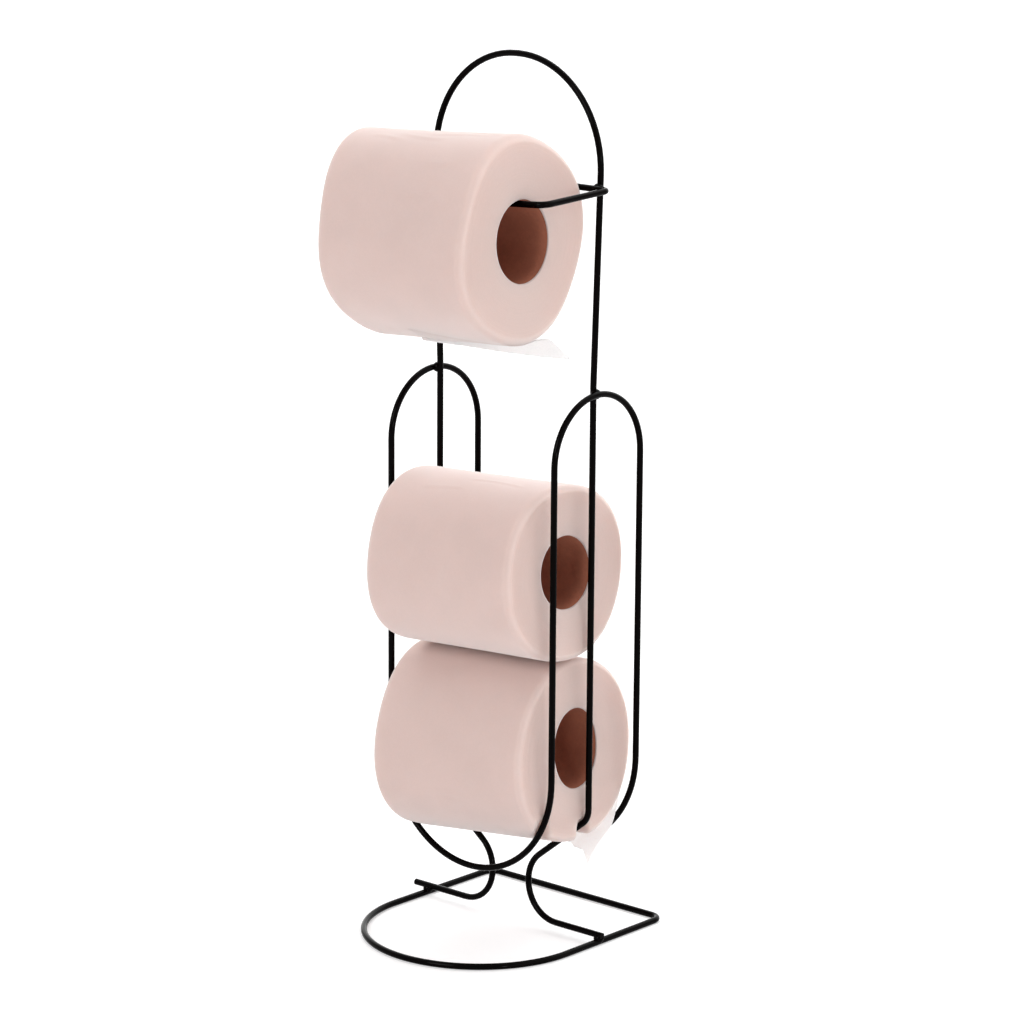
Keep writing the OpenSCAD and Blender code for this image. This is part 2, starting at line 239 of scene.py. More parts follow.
class RH_PaperSettings(bpy.types.PropertyGroup):
    """Wound tissue paper."""

    side_color: color_setting("Side color", "Colour of the wound side", (0.67, 0.515, 0.475))
    # The cut ends' colour is a lighter copy of the side colour: partly painted light, standing in
    # for the stronger light that falls on the ends.
    face_color_painted_lighter: color_setting("Face color", "Colour of the cut ends", (0.835, 0.65, 0.595))
    # The loose ends' near-white colour is partly painted light: a brighter copy of the tissue that
    # stands in for light coming through the thin sheet.
    end_color_painted_bright: color_setting("Loose end color", "Colour of the thin loose ends", (0.97, 0.93, 0.92))
    length: length_setting("Roll length", "Length of each roll", 100 * MM, least=0.05)
    lip: length_setting("Lip", "How far the innermost windings reach over the tube's end", 0.8 * MM)
    arm_yaw: angle_setting("Arm yaw", "Turn of the roll on the arm seen from above", 2.6)
    arm_sag: angle_setting("Arm sag", "Rise of the roll on the arm towards the right", 2.6)
    spare_yaw: angle_setting("Spare yaw", "Turn of the spare rolls seen from above", 3)
    spare_tilt: angle_setting("Spare tilt", "Rise of the spare rolls towards the right", 4)
    wave_depth: length_setting(
        "Wave depth", "How far the wound surface strays from its outline", 0.14 * MM)
    layer_depth: length_setting(
        "Layer depth", "How far bands of windings stand out of the end faces", 0.09 * MM)
    wrinkle_depth: length_setting(
        "Wrinkle depth", "How far the faint wrinkles of the outer sheet stand out", 0.26 * MM)
    winding_turns: bpy.props.IntProperty(
        name="Windings", description="Turns of the spiral of paper edges on each end face",
        min=1, default=72)
    winding_edge: length_setting(
        "Winding edge", "Radius of the paper edge that stands out of the face", 0.11 * MM)


class RH_LooseEndSettings(bpy.types.PropertyGroup):
    """Loose ends of tissue below the rolls."""

    thickness: length_setting(
        "Thickness", "Thickness of the two-ply tissue", 0.24 * MM, least=0.0001)
    lift: length_setting("Lift", "How far the tissue stands off the winding below it", 0.18 * MM)
    top_hug: angle_setting("Top hug", "How far round the roll the top end lies on it", 22, min=0.0)
    bottom_hug: angle_setting(
        "Bottom hug", "How far round the roll the bottom end lies on it", 18, min=0.0)
    # Both glows are painted light: emission on the hanging tissue that stands in for light coming
    # through it.
    top_painted_glow: amount_setting("Top glow", "Light that comes through the top end", 0.0)
    bottom_painted_glow: amount_setting("Bottom glow", "Light that comes through the bottom end", 0.22)
    ragged: length_setting("Ragged", "How uneven the torn edge is", 0.12 * MM)


# ---------------------------------------------------------------- places

def seen_from(heading, height):
    """Direction at a heading round the object from the front and a height above the horizon."""
    return Vector((math.sin(heading) * math.cos(height),
                   -math.cos(heading) * math.cos(height), math.sin(height)))


def roll_matrix(node, yaw, tilt):
    """Matrix from a roll's own axes (along it, to its back, up across it) to the frame."""
    along = Vector((math.cos(yaw) * math.cos(tilt), math.sin(yaw) * math.cos(tilt),
                    math.sin(tilt)))
    back = Vector((-math.sin(yaw), math.cos(yaw), 0.0))
    turn = Matrix((along, back, along.cross(back))).transposed().to_4x4()
    low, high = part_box(node)
    return Matrix.Translation((Vector(low) + Vector(high)) / 2) @ turn


def smooth(t):
    """0 below 0, 1 above 1, and an S-curve between."""
    t = np.clip(t, 0.0, 1.0)
    return t * t * (3 - 2 * t)


def degrees_apart(angle, way):
    """Signed difference in degrees between an angle in radians and one in degrees."""
    return np.degrees(np.angle(np.exp(1j * (angle - math.radians(way)))))


def sway(rng, count, turns, waves):
    """A smooth periodic function of angle and of place along the axis, about 1 deep."""
    terms = [(rng.integers(0, turns + 1), rng.uniform(-waves, waves),
              rng.uniform(0, 2 * math.pi), rng.uniform(0.3, 1.0)) for _ in range(count)]
    total = sum(term[3] for term in terms)

    def value(angle, place):
        out = 0.0
        for turn, wave, phase, weight in terms:
            out = out + weight * np.sin(turn * angle + wave * 2 * math.pi * place + phase)
        return out / total * 2
    return value


def give_way(points):
    """Presses the bottom roll in where it lies on the cradle's arcs and on the legs' bends."""
    room = WIRE_RADIUS + PRESS_GAP
    low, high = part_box("cradle_loop")
    arc_radius = (high[0] - low[0]) / 2 - WIRE_RADIUS
    arc_place = (high[1] - low[1]) / 2 - WIRE_RADIUS
    arc_height = low[2] + WIRE_RADIUS + arc_radius
    x, y, z = points[:, 0], points[:, 1], points[:, 2]
    for side in (-1, 1):
        near = 1 - smooth((np.abs(y - side * arc_place) - room) / PRESS_FADE)
        reach = np.hypot(x, z - arc_height)
        deep = np.clip(reach - (arc_radius - room), 0, None) * near * (z < arc_height)
        x -= deep * x / reach
        z -= deep * (z - arc_height) / reach
    cos, sin = math.cos(LEG_SLANT), math.sin(LEG_SLANT)
    near = 1 - smooth((np.abs(y) - room) / PRESS_FADE)
    middle_x = LEG_PLACE - LEG_BEND
    for side, inner in CURL_PLACES.items():
        middle_z = CURL_HEIGHT + (LEG_BEND + (middle_x - inner) * sin) / cos
        out = side * x
        past = (out - middle_x) * cos + (z - middle_z) * sin > 0
        across = (z - CURL_HEIGHT) * cos - (out - inner) * sin
        deep = np.clip(room - across, 0, None) * near * (out > inner) * ~past
        z += deep * cos
        x -= side * deep * sin
        reach = np.maximum(np.hypot(side * x - middle_x, z - middle_z), 1e-6)
        inside = np.clip(reach - (LEG_BEND - room), 0, None) * near * past * (z < middle_z)
        x -= side * inside * (side * x - middle_x) / reach
        z -= inside * (z - middle_z) / reach
        x -= side * np.clip(side * x - (LEG_PLACE - room), 0, None) * near * (z >= middle_z)



class Roll:
    """One roll: where it lies, its measured outline and the slight unevenness of its winding."""

    def __init__(self, shape, paper):
        self.shape = shape
        self.half = paper.length / 2
        self.bore_radius, self.radius = shape.bore * MM, shape.radius * MM
        self.rim = shape.rim * MM
        yaw = paper.arm_yaw if shape.on_arm else paper.spare_yaw
        tilt = paper.arm_sag if shape.on_arm else paper.spare_tilt
        self.matrix = roll_matrix(shape.body + "_core", yaw, tilt)
        rng = np.random.default_rng(shape.seed)
        self.body = sway(rng, 9, 4, 1.2)
        self.bands = sway(rng, 14, 2, 9.0)
        self.loose = sway(rng, 6, 3, 2.0)
        self.wave_depth, self.layer_depth = paper.wave_depth, paper.layer_depth
        self.wrinkle_depth = paper.wrinkle_depth

    def share(self, reach):
        """0 at the bore and 1 at the outside."""
        return (reach - self.bore_radius) / (self.radius - self.bore_radius)

    def outside(self, angle, along):
        """Outer radius at an angle and a place along the roll."""
        at = along / self.half
        out = self.shape.radius + self.shape.taper * at
        for k, (a, b, a_right, b_right) in enumerate(self.shape.lobes, 1):
            out = (out + (a + a_right * at) * np.cos(k * angle)
                   + (b + b_right * at) * np.sin(k * angle))
        left, right, way, width = self.shape.corner
        bulge = np.exp(-(degrees_apart(angle, way) / width) ** 2)
        out = out + (left * (1 - at) + right * (1 + at)) / 2 * bulge
        for way, start, end in self.shape.wrinkles:
            slant = degrees_apart(angle, way) - SWAY_DEGREES * np.sin(
                along / (SWAY_LENGTH * MM) + way)
            fade = (smooth((along / MM - start) / WRINKLE_FADE)
                    * smooth((end - along / MM) / WRINKLE_FADE))
            ridge = np.exp(-(slant / RIDGE_WIDTH) ** 2)
            dip = np.exp(-((slant - DIP_PLACE) / DIP_WIDTH) ** 2)
            out = out + self.wrinkle_depth / MM * fade * (ridge - DIP_SHARE * dip)
        return out * MM + self.wave_depth * self.body(angle, at / 2)

    def bore(self, angle):
        """Inner radius at an angle."""
        oval = self.shape.bore_oval
        return (self.shape.bore + oval[0] * np.cos(2 * angle) + oval[1] * np.sin(2 * angle)) * MM

    def rise(self, angle, reach):
        """How far an end face stands out at an angle and a nominal radius."""
        share = self.share(reach)
        lift = self.layer_depth * (self.bands(angle, share) + 1.5 * self.loose(angle, share))
        dent = BORE_DENT * smooth((BORE_DENT_SHARE - share) / BORE_DENT_SHARE)
        return lift * (0.3 + 0.7 * share) - dent

    def section(self, along, reach, angle, off=0.0):
        """Back and up of points given by place, nominal radius and angle, and how far off."""
        share = self.share(reach)
        bore, out = self.bore(angle), self.outside(angle, along) + off
        y = share * out * np.cos(angle)
        z = share * out * np.sin(angle)
        y = y + (1 - share) * (bore * np.cos(angle) + self.shape.bore_shift[0] * MM)
        z = z + (1 - share) * (bore * np.sin(angle) + self.shape.bore_shift[1] * MM)
        if self.shape.flat_way:
            way = self.shape.flat_way
            lean = (-way * math.sin(STACK_LEAN), way * math.cos(STACK_LEAN))
            flat = self.shape.flat_at + way * self.shape.flat_left * (1 - along / self.half) / 2
            over = y * lean[0] + z * lean[1] - flat * MM
            back = np.where(over > 0, over, 0.0)
            y, z = y - back * lean[0], z - back * lean[1]
        return y, z

    def world(self, along, y, z):
        """Points of the shared frame from places in the roll."""
        along, y, z = np.broadcast_arrays(along, y, z)
        local = np.stack([along, y, z], axis=-1).reshape(-1, 3)
        return local @ np.array(self.matrix.to_3x3()).T + np.array(self.matrix.translation)

    def paper_points(self, along, y, z):
        """As world, with the bottom roll's paper pressed in by the wires below it."""
        points = self.world(along, y, z)
        if self.shape is BOTTOM_ROLL:
            give_way(points)
        return points

    def rim_reach(self, along):
        """Nominal radius of the side where it rounds off into the end faces."""
        into = np.clip(np.abs(along) - (self.half - self.rim), 0, self.rim * 0.98)
        return self.radius - self.rim + np.sqrt(self.rim ** 2 - into ** 2)


# ---------------------------------------------------------------- materials

def add_node(tree, kind, **values):
    """Adds a node; keywords set its properties, or its inputs where the name is an input."""
    node = tree.nodes.new(kind)
    for name, value in values.items():
        socket = node.inputs.get(name.replace("_", " "))
        if socket is not None and not hasattr(node, name):
            socket.default_value = value
        else:
            setattr(node, name, value)
    return node


def feed(tree, socket, value):
    """Links another node's output to a socket, or sets the socket to a plain value."""
    if isinstance(value, bpy.types.NodeSocket):
        tree.links.new(value, socket)
    else:
        socket.default_value = value


def feed_all(tree, node, values):
    """Feeds several of a node's inputs by their names."""
    for title, value in values.items():
        feed(tree, node.inputs[title], value)


def new_group(name, kind, inputs, outputs):
    """An empty node group with the named sockets."""
    group = bpy.data.node_groups.new(name, kind)
    for title, socket_kind, value in inputs:
        socket = group.interface.new_socket(title, in_out='INPUT', socket_type=socket_kind)
        if value is not None:
            socket.default_value = value
    for title, socket_kind in outputs:
        group.interface.new_socket(title, in_out='OUTPUT', socket_type=socket_kind)
    return group, group.nodes.new('NodeGroupInput'), group.nodes.new('NodeGroupOutput')


def fibre_group():
    """Fine fibres over soft clouds, as one height and one cloud value."""
    if "RH fibre" in bpy.data.node_groups:
        return bpy.data.node_groups["RH fibre"]
    group, entry, leave = new_group(
        "RH fibre", 'ShaderNodeTree',
        (("Vector", 'NodeSocketVector', None), ("Fibre size", 'NodeSocketFloat', 900.0),
         ("Cloud size", 'NodeSocketFloat', 45.0)),
        (("Height", 'NodeSocketFloat'), ("Cloud", 'NodeSocketFloat')))
    fine = add_node(group, 'ShaderNodeTexNoise', Detail=6.0, Roughness=0.65, Distortion=0.6)
    cloud = add_node(group, 'ShaderNodeTexNoise', Detail=3.0, Roughness=0.5)
    for noise, size, result in ((fine, "Fibre size", "Height"), (cloud, "Cloud size", "Cloud")):
        feed_all(group, noise, {"Vector": entry.outputs["Vector"], "Scale": entry.outputs[size]})
        feed(group, leave.inputs[result], noise.outputs["Fac"])
    return group


def new_material(name):
    """An empty material with a Principled shader wired to its output."""
    material = bpy.data.materials.new(name)
    material.use_nodes = True
    tree = material.node_tree
    tree.nodes.clear()
    shader = tree.nodes.new('ShaderNodeBsdfPrincipled')
    output = tree.nodes.new('ShaderNodeOutputMaterial')
    tree.links.new(shader.outputs[0], output.inputs["Surface"])
    return material, tree, shader, output


def own_place(tree):
    """Where a point lies in the piece's own space."""
    return tree.nodes.new('ShaderNodeTexCoord').outputs["Object"]


def speckle(tree, **values):
    """Noise over the piece's own space."""
    noise = add_node(tree, 'ShaderNodeTexNoise', **values)
    feed(tree, noise.inputs["Vector"], own_place(tree))
    return noise.outputs["Fac"]


def fibres(tree, fibre_size=900.0):
    """Height and cloud value of the shared fibre group."""
    node = add_node(tree, 'ShaderNodeGroup', node_tree=fibre_group())
    feed_all(tree, node, {"Vector": own_place(tree), "Fibre size": fibre_size})
    return node.outputs["Height"], node.outputs["Cloud"]


def stored_value(tree, title):
    """A value that is stored on the mesh."""
    return add_node(tree, 'ShaderNodeAttribute', attribute_name=title).outputs["Fac"]


def mixed(tree, kind, share, first, second):
    """Two numbers ('FLOAT') or two colours ('RGBA') mixed."""
    node = add_node(tree, 'ShaderNodeMix', data_type=kind)
    inputs, output = ((0, 2, 3), 0) if kind == 'FLOAT' else ((0, 6, 7), 2)
    for place, value in zip(inputs, (share, first, second)):
        feed(tree, node.inputs[place], value)
    return node.outputs[output]


def ranged(tree, value, low, high):
    """A value from 0 to 1 turned into one from low to high."""
    node = add_node(tree, 'ShaderNodeMapRange', To_Min=low, To_Max=high)
    feed(tree, node.inputs["Value"], value)
    return node.outputs["Result"]


def bumped(tree, height, strength, distance):
    """A normal that follows a height."""
    node = add_node(tree, 'ShaderNodeBump', Strength=strength, Distance=distance)
    feed(tree, node.inputs["Height"], height)
    return node.outputs[0]


def tinted(tree, value, color, darkest, lightest, low, high):
    """A colour between two factors of itself, driven by a value that runs from low to high."""
    ramp = tree.nodes.new('ShaderNodeValToRGB')
    for end, position, factor in zip(ramp.color_ramp.elements, (low, high), (darkest, lightest)):
        end.position = position
        end.color = (*(min(1.0, channel * factor) for channel in color), 1.0)
    feed(tree, ramp.inputs[0], value)
    return ramp.outputs[0]


def enamel_material(settings):
    """Gloss black enamel with a faint waviness."""
    material, tree, shader, _ = new_material("black_enamel")
    peel = speckle(tree, Scale=420.0, Detail=2.0)
    dust = speckle(tree, Scale=60.0, Detail=5.0)
    feed_all(tree, shader, {
        "Base Color": tinted(tree, dust, settings.color, 0.6, 1.8, 0.35, 0.7),
        "Roughness": ranged(tree, dust, settings.roughness * 0.8, settings.roughness * 1.4),
        "Normal": bumped(tree, peel, 0.3, settings.peel_depth),
        "Specular IOR Level": 0.03})
    return material


def cardboard_material(settings):
    """Brown cardboard with flecks and soft clouds."""
    material, tree, shader, _ = new_material("core_cardboard")
    height, cloud = fibres(tree, 650.0)
    blend = mixed(tree, 'FLOAT', 0.6, height, cloud)
    feed_all(tree, shader, {
        "Base Color": tinted(tree, blend, settings.color, 0.88, 1.1, 0.38, 0.62),
        "Normal": bumped(tree, height, 0.4, 0.08 * MM),
        "Roughness": 0.9, "Specular IOR Level": 0.1})
    return material


def tissue_material(settings, name, soft):
    """Wound tissue: smooth on its side and banded by the paper's edges on its cut ends. The cut
    ends take a lighter copy of the side colour, partly painted light standing in for the brighter
    light on them.
    """
    material, tree, shader, _ = new_material(name)
    cut = stored_value(tree, "cut_end")
    height, cloud = fibres(tree)
    rings = add_node(tree, 'ShaderNodeTexNoise', noise_dimensions='1D', Scale=1500.0, Detail=4.0,
                     Roughness=0.7)
    feed(tree, rings.inputs["W"], stored_value(tree, "wound_radius"))
    layers = mixed(tree, 'FLOAT', 0.5, rings.outputs["Fac"], height)
    grain = mixed(tree, 'FLOAT', 0.5, height, cloud)
    side = tinted(tree, grain, settings.side_color, 0.975, 1.02, 0.38, 0.62)
    # Partly painted light: the cut ends get a lighter copy of the tissue colour for the brighter
    # light on them.
    face = tinted(tree, layers, settings.face_color_painted_lighter, 0.975, 1.02, 0.36, 0.62)
    feed_all(tree, shader, {
        "Base Color": mixed(tree, 'RGBA', cut, side, face),
        "Normal": bumped(tree, mixed(tree, 'FLOAT', cut, height, layers), 0.3, 0.1 * MM),
        "Roughness": 0.95, "Specular IOR Level": 0.08,
        "Sheen Weight": 0.5, "Sheen Roughness": 0.5,
        "Subsurface Weight": soft, "Subsurface Scale": 16 * MM,
        "Subsurface Radius": (1.0, 0.8, 0.72)})
    return material


def tissue_end_material(settings, name, painted_glow_strength):
    """Thin tissue that, where it hangs free, gets a near-white colour and a glow, both painted
    light standing in for the light behind it that comes through.
    """
    material, tree, shader, _ = new_material(name)
    free = stored_value(tree, "hangs_free")
    height, cloud = fibres(tree)
    # Near-white where it hangs free: partly painted light for the light that comes through the thin
    # sheet.
    thin = tinted(tree, cloud, settings.end_color_painted_bright, 0.98, 1.01, 0.36, 0.62)
    color = mixed(tree, 'RGBA', free, (*settings.side_color, 1.0), thin)
    feed_all(tree, shader, {
        "Base Color": color,
        "Alpha": mixed(tree, 'FLOAT', free, 1.0, ranged(tree, height, 0.78, 0.92)),
        "Normal": bumped(tree, height, 0.3, 0.08 * MM),
        # Painted glow: emission where the tissue hangs free, standing in for light coming through
        # it.
        "Emission Color": mixed(tree, 'RGBA', free, (0.0, 0.0, 0.0, 1.0), color),
        "Emission Strength": painted_glow_strength,
        "Roughness": 0.95, "Specular IOR Level": 0.08, "Sheen Weight": 0.3,
        "Subsurface Weight": 1.0, "Subsurface Scale": 1.5 * MM,
        "Subsurface Radius": (1.0, 0.95, 0.92)})
    return material


def floor_material(settings):
    """Pale matt floor that the camera, and what mirrors it, sees as white."""
    material, tree, shader, output = new_material("pale_floor")
    grain = speckle(tree, Scale=30.0, Detail=4.0)
    feed_all(tree, shader, {
        "Base Color": tinted(tree, grain, settings.floor_color, 0.995, 1.0, 0.3, 0.7),
        "Roughness": 0.9, "Specular IOR Level": 0.0})
    white = add_node(tree, 'ShaderNodeEmission', Strength=settings.floor_white)
    dark = add_node(tree, 'ShaderNodeEmission', Strength=0.0)
    both = tree.nodes.new('ShaderNodeAddShader')
    feed(tree, both.inputs[0], shader.outputs[0])
    feed(tree, both.inputs[1], camera_pick(tree, dark, white))
    feed(tree, output.inputs["Surface"], both.outputs[0])
    return material


def camera_pick(tree, unseen, seen):
    """One shader for what lights the object and another for what the camera sees."""
    pick = tree.nodes.new('ShaderNodeMixShader')
    for place, value in enumerate((seen_by_camera(tree), unseen.outputs[0], seen.outputs[0])):
        feed(tree, pick.inputs[place], value)
    return pick.outputs[0]


def seen_by_camera(tree):
    """1 for what the camera sees straight, in gloss or through glass, and 0 for what lights."""
    path = tree.nodes.new('ShaderNodeLightPath')
    value = path.outputs["Is Camera Ray"]
    for title in ("Is Glossy Ray", "Is Transmission Ray"):
        larger = add_node(tree, 'ShaderNodeMath', operation='MAXIMUM')
        feed(tree, larger.inputs[0], value)
        feed(tree, larger.inputs[1], path.outputs[title])
        value = larger.outputs[0]
    return value


# ---------------------------------------------------------------- meshes

def grid_faces(rows, columns, close_rows, close_columns):
    """Quads of a grid of points stored row by row."""
    faces = []
    for i in range(rows if close_rows else rows - 1):
        for j in range(columns if close_columns else columns - 1):
            k, m = (i + 1) % rows, (j + 1) % columns
            faces.append((i * columns + j, k * columns + j, k * columns + m, i * columns + m))
    return faces


def mesh_object(name, points, faces, material):
    """A smooth-shaded object at the origin."""
    mesh = bpy.data.meshes.new(name)
    mesh.from_pydata([tuple(p) for p in points], [], faces)
    mesh.materials.append(material)
    mesh.shade_smooth()
    item = bpy.data.objects.new(name, mesh)
    bpy.context.scene.collection.objects.link(item)
    return item


def apply_modifiers(item):
    """Turns the evaluated result into the object's own plain mesh."""
    graph = bpy.context.evaluated_depsgraph_get()
    result = bpy.data.meshes.new_from_object(item.evaluated_get(graph), depsgraph=graph)
    item.modifiers.clear()
    item.data = result
    return item


def store_values(item, title, values):
    """Stores a number for each vertex, for the materials to read."""
    store = item.data.attributes.new(title, 'FLOAT', 'POINT')
    store.data.foreach_set("value", np.asarray(values).astype(np.float32).ravel())


def paper_profile(roll, lip, tube):
    """Closed outline of the wound paper: place, nominal radius, and how much it is a cut end, which
    is also how much it takes the cut ends' painted lighter colour.
    """
    half, bore, rim, radius = roll.half, roll.bore_radius, roll.rim, roll.radius
    face_steps, rim_steps, side_steps, bore_steps = 30, 10, 56, 5
    cut_share = 0.62    # of the rim's bend, from the face on, that still looks partly cut: it takes part of the cut ends' painted lighter colour
    left = [(-half, bore + (radius - rim - bore) * k / face_steps, 1) for k in range(face_steps)]
    for k in range(rim_steps):
        a = math.pi / 2 * k / rim_steps
        left.append((-half + rim - rim * math.cos(a), radius - rim + rim * math.sin(a),
                     float(smooth((cut_share - k / rim_steps) / cut_share))))
    outline = left + [(-half + rim + (2 * half - 2 * rim) * k / side_steps, radius, 0)
                      for k in range(side_steps + 1)]
    outline += [(-along, reach, cut) for along, reach, cut in reversed(left)]
    outline.append((half - lip, bore, 1))
    for k in range(bore_steps + 1):
        outline.append(((half - lip) * (1 - 2 * k / bore_steps), bore + tube, 1))
    outline.append((-half + lip, bore, 1))
    return np.array(outline)


def make_paper(name, roll, lip, tube, material):
    """A wound roll with soft rims, faintly banded ends and a slightly uneven side."""
    outline = paper_profile(roll, lip, tube)
    turns, near_face = 300, 0.8 * roll.half
    angle = np.linspace(0, 2 * math.pi, turns, endpoint=False)[:, None]
    along, reach, cut = (column[None, :] for column in outline.T)
    y, z = roll.section(along, reach, angle)
    out = along + np.sign(along) * roll.rise(angle, reach) * (np.abs(along) > near_face)
    item = mesh_object(name, roll.paper_points(out, y, z),
                       grid_faces(turns, len(outline), True, True), material)
    store_values(item, "wound_radius", reach + 0 * angle)
    # cut_end also blends in the cut ends' painted lighter colour.
    store_values(item, "cut_end", cut + 0 * angle)
    return item


def make_tube(name, roll, wall, recess, material):
    """The cardboard tube inside a roll, as round or oval as its bore."""
    half, inner, outer = roll.half - recess, roll.bore_radius, roll.bore_radius + wall
    outline = []
    steps = 12
    for k in range(steps + 1):
        outline.append((-half + 2 * half * k / steps, outer))
    for k in range(steps + 1):
        outline.append((half - 2 * half * k / steps, inner))
    outline = np.array(outline)
    turns = 160
    angle = np.linspace(0, 2 * math.pi, turns, endpoint=False)[:, None]
    along, reach = (column[None, :] for column in outline.T)
    y, z = roll.section(along, reach, angle)
    item = mesh_object(name, roll.world(along, y, z),
                       grid_faces(turns, len(outline), True, True), material)
    item.data.set_sharp_from_angle(angle=math.radians(40))
    return item


def hanging_line(roll, along, start, leave, free, off, count):
    """Points (back, up) of a tissue from where it starts on the roll, past where it leaves."""
    step_degrees = 3
    steps = max(2, int(math.degrees(leave - start) / step_degrees))
    turn = np.linspace(start, leave, steps + 1) - math.pi / 2
    y, z = roll.section(along, roll.rim_reach(along), turn, off(np.linspace(0, 1, steps + 1)))
    knots = np.concatenate([np.stack([y, z], axis=1), np.array(free) * MM])
    at = np.concatenate([[0], np.cumsum(np.hypot(*np.diff(knots, axis=0).T))])
    way = np.gradient(knots, at, axis=0)
    fine = np.linspace(0, at[-1], count)
    k = np.clip(np.searchsorted(at, fine, side="right") - 1, 0, len(at) - 2)
    span = (at[k + 1] - at[k])[:, None]
    t = (fine - at[k])[:, None] / span
    curve = ((2 * t ** 3 - 3 * t ** 2 + 1) * knots[k] + (t ** 3 - 2 * t ** 2 + t) * span * way[k]
             + (3 * t ** 2 - 2 * t ** 3) * knots[k + 1] + (t ** 3 - t ** 2) * span * way[k + 1])
    return curve, at[-1]


def make_loose_end(name, roll, stations, hug, settings, material):
    """A thin sheet that lies on a roll, leaves it and hangs to a torn edge; gives its flat size."""
    rows, columns = 72, 72
    tuck_depth, tuck_width = 0.3 * MM, 6 * MM   # its start and left edge merge into the roll
    free_fade = 9 * MM                          # over which it comes to hang free
    places = [s[0] * MM for s in stations]
    leaves = [math.radians(s[1]) for s in stations]
    frees = np.array([s[2] for s in stations])
    points, lengths, free_shares = [], [], []
    for i in range(columns + 1):
        along = places[0] + (places[-1] - places[0]) * i / columns
        leave = float(np.interp(along, places, leaves))
        free = np.array([[np.interp(along, places, frees[:, k, c]) for c in (0, 1)]
                         for k in range(frees.shape[1])])
        last = free[-1] - free[-2]
        free[-1] = free[-1] + last / max(np.hypot(*last), 1e-6) * settings.ragged / MM * (
            math.sin(0.9 * i) + 0.6 * math.sin(2.3 * i + 1))
        tuck = float(smooth(np.array((along - places[0]) / tuck_width)))
        curve, length = hanging_line(
            roll, along, leave - hug, leave, free,
            lambda t: -tuck_depth + (tuck_depth + settings.lift) * smooth(t * 4) * tuck, rows)
        points.append(np.stack([np.full(rows, along), curve[:, 0], curve[:, 1]], axis=1))
        lengths.append(length)
        gone = np.linspace(0, length, rows) - hug * roll.radius
        free_shares.append(smooth(gone / free_fade + 0.3))
    local = np.array(points).reshape(-1, 3)
    world = roll.world(local[:, 0], local[:, 1], local[:, 2])
    item = mesh_object(name, world, grid_faces(columns + 1, rows, False, False), material)
    store_values(item, "hangs_free", np.concatenate(free_shares))
    solid = item.modifiers.new("thickness", 'SOLIDIFY')
    solid.thickness = settings.thickness
    solid.offset = 0.0
    apply_modifiers(item)
    width = places[-1] - places[0]
    return item, (width, max(lengths)), width * float(np.mean(lengths))


# ---------------------------------------------------------------- geometry nodes

def set_input(modifier, title, value):
    """Sets a Geometry Nodes modifier's input by the identifier of the socket with that title."""
    for item in modifier.node_group.interface.items_tree:
        if item.item_type == 'SOCKET' and item.in_out == 'INPUT' and item.name == title:
            modifier[item.identifier] = value
            return
    raise KeyError(title)


def winding_tree():
    """Node tree: a thin thread wound as a flat spiral or a helix."""
    if "RH winding" in bpy.data.node_groups:
        return bpy.data.node_groups["RH winding"]
    tree, entry, leave = new_group(
        "RH winding", 'GeometryNodeTree',
        (("Geometry", 'NodeSocketGeometry', None), ("Steps per turn", 'NodeSocketInt', 90),
         ("Turns", 'NodeSocketFloat', 70.0), ("Start radius", 'NodeSocketFloat', 0.0225),
         ("End radius", 'NodeSocketFloat', 0.05), ("Height", 'NodeSocketFloat', 0.0),
         ("Thread radius", 'NodeSocketFloat', 0.0001), ("Material", 'NodeSocketMaterial', None)),
        (("Geometry", 'NodeSocketGeometry'),))
    tree.is_modifier = True
    given = entry.outputs
    spiral = tree.nodes.new('GeometryNodeCurveSpiral')
    section = add_node(tree, 'GeometryNodeCurvePrimitiveCircle', mode='RADIUS', Resolution=4)
    sweep = tree.nodes.new('GeometryNodeCurveToMesh')
    real = tree.nodes.new('GeometryNodeRealizeInstances')
    finish = tree.nodes.new('GeometryNodeSetMaterial')
    feed_all(tree, spiral, {
        "Resolution": given["Steps per turn"], "Rotations": given["Turns"],
        "Start Radius": given["Start radius"], "End Radius": given["End radius"],
        "Height": given["Height"]})
    feed(tree, section.inputs["Radius"], given["Thread radius"])
    feed_all(tree, sweep, {"Curve": spiral.outputs[0], "Profile Curve": section.outputs[0],
                           "Fill Caps": True})
    feed(tree, real.inputs[0], sweep.outputs[0])
    feed_all(tree, finish, {"Geometry": real.outputs[0], "Material": given["Material"]})
    feed(tree, leave.inputs["Geometry"], finish.outputs[0])
    return tree


def wound_thread(name, material, **sizes):
    """A plain mesh of a wound thread, not yet laid on a roll."""
    item = mesh_object(name, [], [], material)
    thread = item.modifiers.new("winding", 'NODES')
    thread.node_group = winding_tree()
    set_input(thread, "Material", material)
    for title, value in sizes.items():
        set_input(thread, title.replace("_", " "), value)
    return apply_modifiers(item)


def thread_points(mesh):
    """A wound thread's vertices as radius, angle and height."""
    points = np.empty(len(mesh.vertices) * 3)
    mesh.vertices.foreach_get("co", points)
    x, y, z = points.reshape(-1, 3).T
    return np.hypot(x, y), np.arctan2(y, x), z


